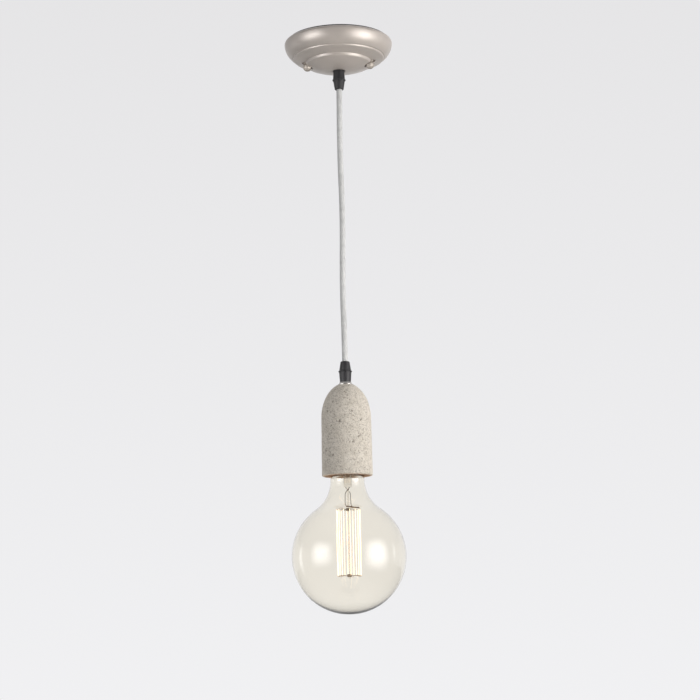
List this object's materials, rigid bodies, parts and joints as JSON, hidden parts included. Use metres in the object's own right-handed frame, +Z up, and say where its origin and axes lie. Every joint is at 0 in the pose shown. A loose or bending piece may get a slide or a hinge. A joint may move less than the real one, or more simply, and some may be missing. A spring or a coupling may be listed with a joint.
{
  "type": "pendant ceiling light",
  "caption": "Pendant light: bell canopy with ball nuts, textile cord with strain reliefs, bullet-shaped concrete lampholder shell and a clear globe bulb with a cage filament.",
  "frame": {"origin": "centre of the mounting bracket's upper face, in the ceiling plane", "axes": "+Z up into the ceiling, the light hangs along -Z; the bracket, its slots and its studs lie along X; the view in use is along +Y"},
  "size_m": [0.125, 0.125, 0.647],
  "materials": {
    "zinc_steel": "zinc plated",
    "canopy_paint": "satin warm grey paint",
    "gasket_foam": "dark closed-cell foam",
    "nut_metal": "satin nickel",
    "brass": "plain",
    "nickel": "bright nickel plate",
    "grip_plastic": "satin black",
    "block_plastic": "natural white",
    "holder_plastic": "black phenolic",
    "holder_ceramic": "unglazed white",
    "cord_fabric": "light grey textile sleeve",
    "core_brown": "brown core insulation",
    "core_blue": "blue core insulation",
    "core_earth": "green and yellow core insulation",
    "concrete": "cast grey concrete with fine air pits",
    "cap_metal": "plain",
    "vitrite": "opaque black glass",
    "bulb_glass": "faint amber clear glass",
    "stem_glass": "clear glass",
    "fine_wire": "drawn wire",
    "filament": "glowing"
  },
  "bodies": {
    "canopy": {"mounting_bracket": "zinc_steel", "canopy_studs": "zinc_steel", "stud_locknuts": "zinc_steel", "ground_screw": "brass", "earth_eyelet": "brass", "terminal_block": "block_plastic", "terminal_inserts": "brass", "terminal_screws": "zinc_steel", "live_lead": "core_brown", "neutral_lead": "core_blue", "earth_lead": "core_earth", "ceiling_gasket": "gasket_foam", "canopy": "canopy_paint", "canopy_nipple": "zinc_steel", "nipple_washer": "zinc_steel", "nipple_nut": "zinc_steel", "upper_grip_base": "grip_plastic", "upper_grip_collet": "grip_plastic", "upper_grip_nose": "grip_plastic", "canopy_cord_tail": "cord_fabric"},
    "nut_washer_left": {"nut_washer_left": "zinc_steel"},
    "ball_nut_left": {"ball_nut_left": "nut_metal"},
    "nut_washer_right": {"nut_washer_right": "zinc_steel"},
    "ball_nut_right": {"ball_nut_right": "nut_metal"},
    "cord_top": {"cord_top": "cord_fabric"},
    "cord": {"cord": "cord_fabric"},
    "lamp": {"lower_grip_nose": "grip_plastic", "lower_grip_collet": "grip_plastic", "lower_grip_base": "grip_plastic", "lamp_cord_tail": "cord_fabric", "shell_collar": "nickel", "concrete_shell": "concrete", "lamp_nipple": "zinc_steel", "shell_washer": "zinc_steel", "shell_locknut": "zinc_steel", "lampholder_cap": "holder_plastic", "lampholder_core": "holder_ceramic", "lampholder_skirt": "holder_plastic", "holder_screws": "brass", "screw_shell": "brass", "centre_contact": "brass", "side_contact": "brass", "holder_live_lead": "core_brown", "holder_neutral_lead": "core_blue"},
    "bulb_tip": {"bulb_end_contact": "cap_metal"},
    "bulb": {"bulb_cap": "cap_metal", "bulb_cap_insulator": "vitrite", "bulb_envelope": "bulb_glass", "bulb_stem": "stem_glass", "bulb_arbor": "stem_glass", "bulb_upper_spider": "fine_wire", "bulb_lower_spider": "fine_wire", "bulb_filament": "filament", "bulb_lead_wires": "fine_wire"}
  },
  "joints": [
    {"name": "swing_front_back", "type": "hinge", "parent": "canopy", "child": "cord_top", "pos_m": [0, 0, -0.0602], "axis": [1, 0, 0], "range_deg": [-30, 30]},
    {"name": "swing_side", "type": "hinge", "parent": "cord_top", "child": "cord", "pos_m": [-0.00038, 0, -0.0862], "axis": [0, 1, 0], "range_deg": [-30, 30]},
    {"name": "lamp_twist", "type": "hinge", "parent": "cord", "child": "lamp", "pos_m": [0, 0, -0.372], "axis": [0, 0, 1], "range_deg": [-180, 180], "stiffness_Nm_per_rad": 0.004},
    {"name": "bulb_travel", "type": "slide", "parent": "lamp", "child": "bulb_tip", "axis": [0, 0, -1], "range_m": [0, 0.01452]},
    {"name": "bulb_turn", "type": "hinge", "parent": "bulb_tip", "child": "bulb", "pos_m": [0, 0, -0.4672], "axis": [0, 0, -1], "range_deg": [0, 1440]},
    {"name": "nut_travel_left", "type": "slide", "parent": "canopy", "child": "nut_washer_left", "axis": [0, 0, -1], "range_m": [0, 0.0035]},
    {"name": "nut_turn_left", "type": "hinge", "parent": "nut_washer_left", "child": "ball_nut_left", "pos_m": [-0.0356, 0, -0.03], "axis": [0, 0, -1], "range_deg": [0, 1801]},
    {"name": "nut_travel_right", "type": "slide", "parent": "canopy", "child": "nut_washer_right", "axis": [0, 0, -1], "range_m": [0, 0.0035]},
    {"name": "nut_turn_right", "type": "hinge", "parent": "nut_washer_right", "child": "ball_nut_right", "pos_m": [0.0356, 0, -0.03], "axis": [0, 0, -1], "range_deg": [0, 1801]}
  ],
  "couplings": [
    {"joint": "bulb_travel", "follows": "bulb_turn", "m_per_rad": 0.00057757},
    {"joint": "nut_turn_left", "follows": "nut_travel_left", "rad_per_m": 8976},
    {"joint": "nut_turn_right", "follows": "nut_travel_right", "rad_per_m": 8976}
  ]
}
